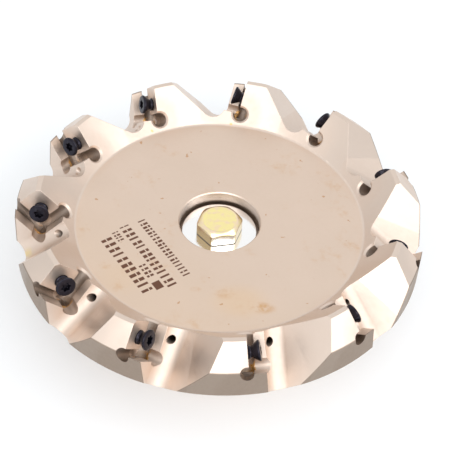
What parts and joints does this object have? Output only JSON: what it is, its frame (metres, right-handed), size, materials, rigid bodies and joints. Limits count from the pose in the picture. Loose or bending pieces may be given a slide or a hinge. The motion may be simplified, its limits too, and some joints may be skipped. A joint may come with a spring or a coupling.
{
  "type": "indexable face mill",
  "caption": "Indexable face milling cutter body with angled insert seats, seat screws and a bolted front bore cover.",
  "frame": {"origin": "on the bore axis at the back seating face that rests on the arbor", "axes": "+Z along the bore axis from the arbor towards the cutting face; the drive slot runs along X"},
  "size_m": [0.135, 0.135, 0.05],
  "materials": {
    "nickel_steel": "satin",
    "black_oxide": "black oxide, lightly oiled",
    "bright_zinc": "bright zinc plate",
    "yellow_zinc": "yellow zinc plate"
  },
  "bodies": {
    "cutter": {"cutter_body": "nickel_steel"},
    "screw_01": {"insert_screw_01": "black_oxide"},
    "screw_02": {"insert_screw_02": "black_oxide"},
    "screw_03": {"insert_screw_03": "black_oxide"},
    "screw_04": {"insert_screw_04": "black_oxide"},
    "screw_05": {"insert_screw_05": "black_oxide"},
    "screw_06": {"insert_screw_06": "black_oxide"},
    "screw_07": {"insert_screw_07": "black_oxide"},
    "screw_08": {"insert_screw_08": "black_oxide"},
    "screw_09": {"insert_screw_09": "black_oxide"},
    "screw_10": {"insert_screw_10": "black_oxide"},
    "screw_11": {"insert_screw_11": "black_oxide"},
    "washer": {"centre_washer": "bright_zinc"},
    "bolt": {"centre_bolt": "yellow_zinc"}
  },
  "joints": [
    {"name": "screw_lift_01", "type": "slide", "parent": "cutter", "child": "screw_01", "axis": [-0.2189, 0.9482, 0.2301], "range_m": [0, 0.0075]},
    {"name": "screw_lift_02", "type": "slide", "parent": "cutter", "child": "screw_02", "axis": [-0.6968, 0.6794, 0.2301], "range_m": [0, 0.0075]},
    {"name": "screw_lift_03", "type": "slide", "parent": "cutter", "child": "screw_03", "axis": [-0.9535, 0.1948, 0.23], "range_m": [0, 0.0075]},
    {"name": "screw_lift_04", "type": "slide", "parent": "cutter", "child": "screw_04", "axis": [-0.9074, -0.3516, 0.2301], "range_m": [0, 0.0075]},
    {"name": "screw_lift_05", "type": "slide", "parent": "cutter", "child": "screw_05", "axis": [-0.5733, -0.7864, 0.23], "range_m": [0, 0.0075]},
    {"name": "screw_lift_06", "type": "slide", "parent": "cutter", "child": "screw_06", "axis": [-0.0571, -0.9715, 0.2301], "range_m": [0, 0.0075]},
    {"name": "screw_lift_07", "type": "slide", "parent": "cutter", "child": "screw_07", "axis": [0.4772, -0.8481, 0.23], "range_m": [0, 0.0075]},
    {"name": "screw_lift_08", "type": "slide", "parent": "cutter", "child": "screw_08", "axis": [0.86, -0.4555, 0.23], "range_m": [0, 0.0075]},
    {"name": "screw_lift_09", "type": "slide", "parent": "cutter", "child": "screw_09", "axis": [0.9697, 0.0817, 0.23], "range_m": [0, 0.0075]},
    {"name": "screw_lift_10", "type": "slide", "parent": "cutter", "child": "screw_10", "axis": [0.7716, 0.593, 0.2301], "range_m": [0, 0.0075]},
    {"name": "screw_lift_11", "type": "slide", "parent": "cutter", "child": "screw_11", "axis": [0.3285, 0.9161, 0.23], "range_m": [0, 0.0075]},
    {"name": "washer_lift", "type": "slide", "parent": "cutter", "child": "washer", "axis": [0, 0, 1], "range_m": [0, 0.0075]},
    {"name": "bolt_turn", "type": "hinge", "parent": "washer", "child": "bolt", "pos_m": [0, 0, 0.0345], "axis": [0, 0, 1], "range_deg": [0, 2160]}
  ],
  "couplings": [
    {"joint": "bolt_turn", "follows": "washer_lift", "rad_per_m": 5026.5}
  ]
}
